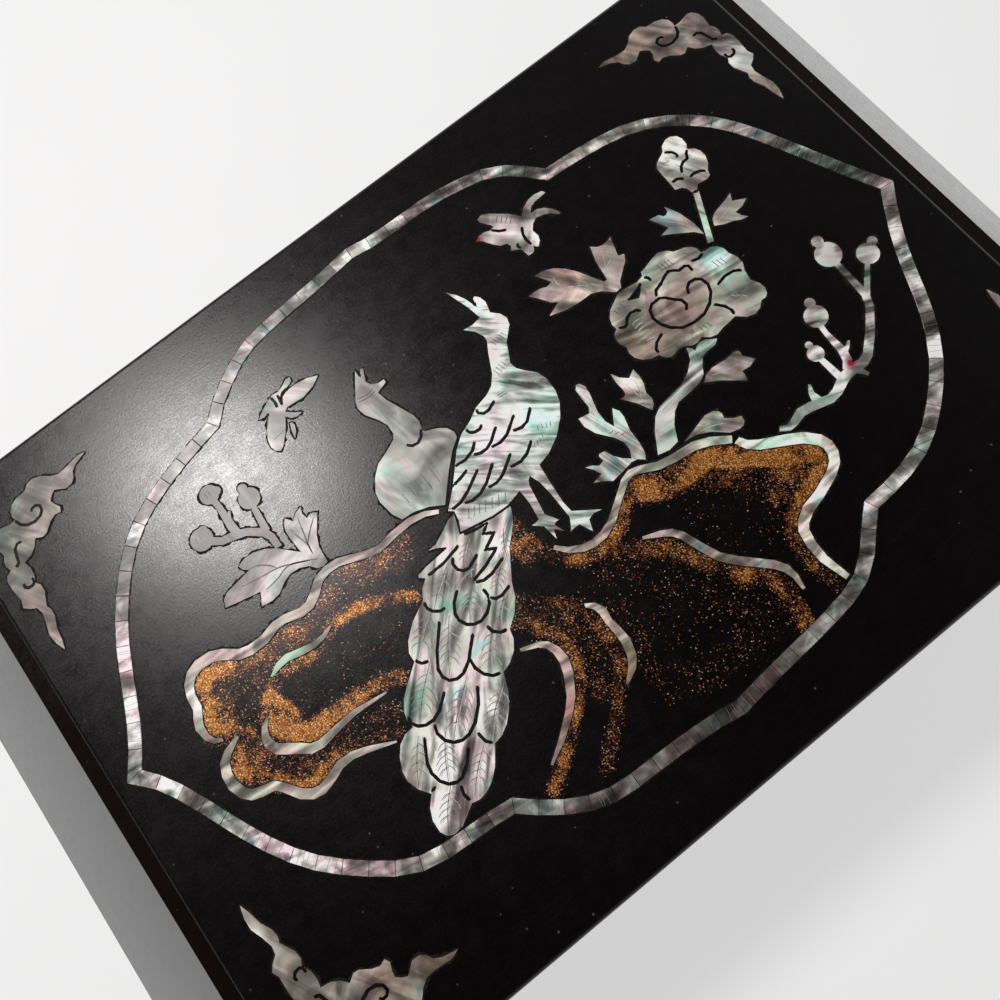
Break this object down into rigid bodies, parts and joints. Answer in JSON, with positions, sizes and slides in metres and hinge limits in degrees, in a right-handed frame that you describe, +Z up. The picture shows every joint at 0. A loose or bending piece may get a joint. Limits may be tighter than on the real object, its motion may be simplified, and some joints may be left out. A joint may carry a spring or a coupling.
{
  "type": "jewelry box",
  "caption": "Black lacquer jewelry box with hinged lid, flat top and sloping ends, mother-of-pearl peacock and peony inlay, lift-out tray and lid mirror",
  "frame": {"origin": "on the ground under the middle of the box", "axes": "X along the box's length, Y towards the hinges at the back, Z up"},
  "size_m": [0.3806, 0.2104, 0.1363],
  "materials": {
    "case_front_wall": "polished black lacquer over wood",
    "case_back_wall": "polished black lacquer over wood",
    "case_left_wall": "polished black lacquer over wood",
    "case_right_wall": "polished black lacquer over wood",
    "case_bottom_board": "thin dark lacquer over wood, satin",
    "plinth_front": "polished black lacquer over wood",
    "plinth_back": "polished black lacquer over wood",
    "plinth_left": "polished black lacquer over wood",
    "plinth_right": "polished black lacquer over wood",
    "foot_pads": "black felt",
    "case_long_linings": "deep red velvet",
    "case_end_linings": "deep red velvet",
    "left_partition": "deep red velvet",
    "right_partition": "deep red velvet",
    "tray_cleats": "thin dark lacquer over wood, satin",
    "main_floor_pad": "deep red velvet",
    "well_floor_pads": "deep red velvet",
    "left_hinge_case_leaf": "brushed brass, slightly dulled",
    "right_hinge_case_leaf": "brushed brass, slightly dulled",
    "left_hinge_pin": "brushed brass, slightly dulled",
    "right_hinge_pin": "brushed brass, slightly dulled",
    "hinge_case_screws": "brushed brass, slightly dulled",
    "lid_top_panel": "polished black lacquer over wood",
    "lid_front_rail": "polished black lacquer over wood",
    "lid_back_rail": "polished black lacquer over wood",
    "lid_left_end": "polished black lacquer over wood",
    "lid_right_end": "polished black lacquer over wood",
    "lid_lining_board": "deep red velvet",
    "lid_rail_linings": "deep red velvet",
    "lid_end_linings": "deep red velvet",
    "mirror_frame": "polished black lacquer over wood",
    "lid_mirror": "silvered glass",
    "left_hinge_lid_leaf": "brushed brass, slightly dulled",
    "right_hinge_lid_leaf": "brushed brass, slightly dulled",
    "hinge_lid_screws": "brushed brass, slightly dulled",
    "inlay_border": "polished mother-of-pearl, iridescent",
    "inlay_clouds": "polished mother-of-pearl, iridescent",
    "inlay_peacock": "polished mother-of-pearl, iridescent",
    "inlay_peacock_tail": "polished mother-of-pearl, iridescent",
    "inlay_peahen": "polished mother-of-pearl, iridescent",
    "inlay_peony": "polished mother-of-pearl, iridescent",
    "inlay_peony_bud": "polished mother-of-pearl, iridescent",
    "inlay_leaves": "polished mother-of-pearl, iridescent",
    "inlay_peony_stem": "polished mother-of-pearl, iridescent",
    "inlay_twig": "polished mother-of-pearl, iridescent",
    "inlay_right_branch": "polished mother-of-pearl, iridescent",
    "inlay_left_branch": "polished mother-of-pearl, iridescent",
    "inlay_leaf_spray": "polished mother-of-pearl, iridescent",
    "inlay_bees": "polished mother-of-pearl, iridescent",
    "inlay_rock_edges": "polished mother-of-pearl, iridescent",
    "tray_front_rail": "polished black lacquer over wood",
    "tray_back_rail": "polished black lacquer over wood",
    "tray_left_rail": "polished black lacquer over wood",
    "tray_right_rail": "polished black lacquer over wood",
    "tray_floor": "thin dark lacquer over wood, satin",
    "tray_long_divider": "deep red velvet",
    "tray_cross_divider": "deep red velvet",
    "tray_short_divider": "deep red velvet",
    "tray_pads": "deep red velvet",
    "ring_rolls": "deep red velvet"
  },
  "bodies": {
    "case": {"case_front_wall": "case_front_wall", "case_back_wall": "case_back_wall", "case_left_wall": "case_left_wall", "case_right_wall": "case_right_wall", "case_bottom_board": "case_bottom_board", "plinth_front": "plinth_front", "plinth_back": "plinth_back", "plinth_left": "plinth_left", "plinth_right": "plinth_right", "foot_pads": "foot_pads", "case_long_linings": "case_long_linings", "case_end_linings": "case_end_linings", "left_partition": "left_partition", "right_partition": "right_partition", "tray_cleats": "tray_cleats", "main_floor_pad": "main_floor_pad", "well_floor_pads": "well_floor_pads", "left_hinge_case_leaf": "left_hinge_case_leaf", "right_hinge_case_leaf": "right_hinge_case_leaf", "left_hinge_pin": "left_hinge_pin", "right_hinge_pin": "right_hinge_pin", "hinge_case_screws": "hinge_case_screws"},
    "lid": {"lid_top_panel": "lid_top_panel", "lid_front_rail": "lid_front_rail", "lid_back_rail": "lid_back_rail", "lid_left_end": "lid_left_end", "lid_right_end": "lid_right_end", "lid_lining_board": "lid_lining_board", "lid_rail_linings": "lid_rail_linings", "lid_end_linings": "lid_end_linings", "mirror_frame": "mirror_frame", "lid_mirror": "lid_mirror", "left_hinge_lid_leaf": "left_hinge_lid_leaf", "right_hinge_lid_leaf": "right_hinge_lid_leaf", "hinge_lid_screws": "hinge_lid_screws", "inlay_border": "inlay_border", "inlay_clouds": "inlay_clouds", "inlay_peacock": "inlay_peacock", "inlay_peacock_tail": "inlay_peacock_tail", "inlay_peahen": "inlay_peahen", "inlay_peony": "inlay_peony", "inlay_peony_bud": "inlay_peony_bud", "inlay_leaves": "inlay_leaves", "inlay_peony_stem": "inlay_peony_stem", "inlay_twig": "inlay_twig", "inlay_right_branch": "inlay_right_branch", "inlay_left_branch": "inlay_left_branch", "inlay_leaf_spray": "inlay_leaf_spray", "inlay_bees": "inlay_bees", "inlay_rock_edges": "inlay_rock_edges"},
    "tray": {"tray_front_rail": "tray_front_rail", "tray_back_rail": "tray_back_rail", "tray_left_rail": "tray_left_rail", "tray_right_rail": "tray_right_rail", "tray_floor": "tray_floor", "tray_long_divider": "tray_long_divider", "tray_cross_divider": "tray_cross_divider", "tray_short_divider": "tray_short_divider", "tray_pads": "tray_pads", "ring_rolls": "ring_rolls"}
  },
  "joints": [
    {"name": "lid_hinge", "type": "hinge", "parent": "case", "child": "lid", "pos_m": [0, 0.0991, 0.088], "axis": [-1, 0, 0], "range_deg": [0, 100]},
    {"name": "tray_lift", "type": "slide", "parent": "case", "child": "tray", "axis": [0, 0, 1], "range_m": [0, 0.03]}
  ]
}
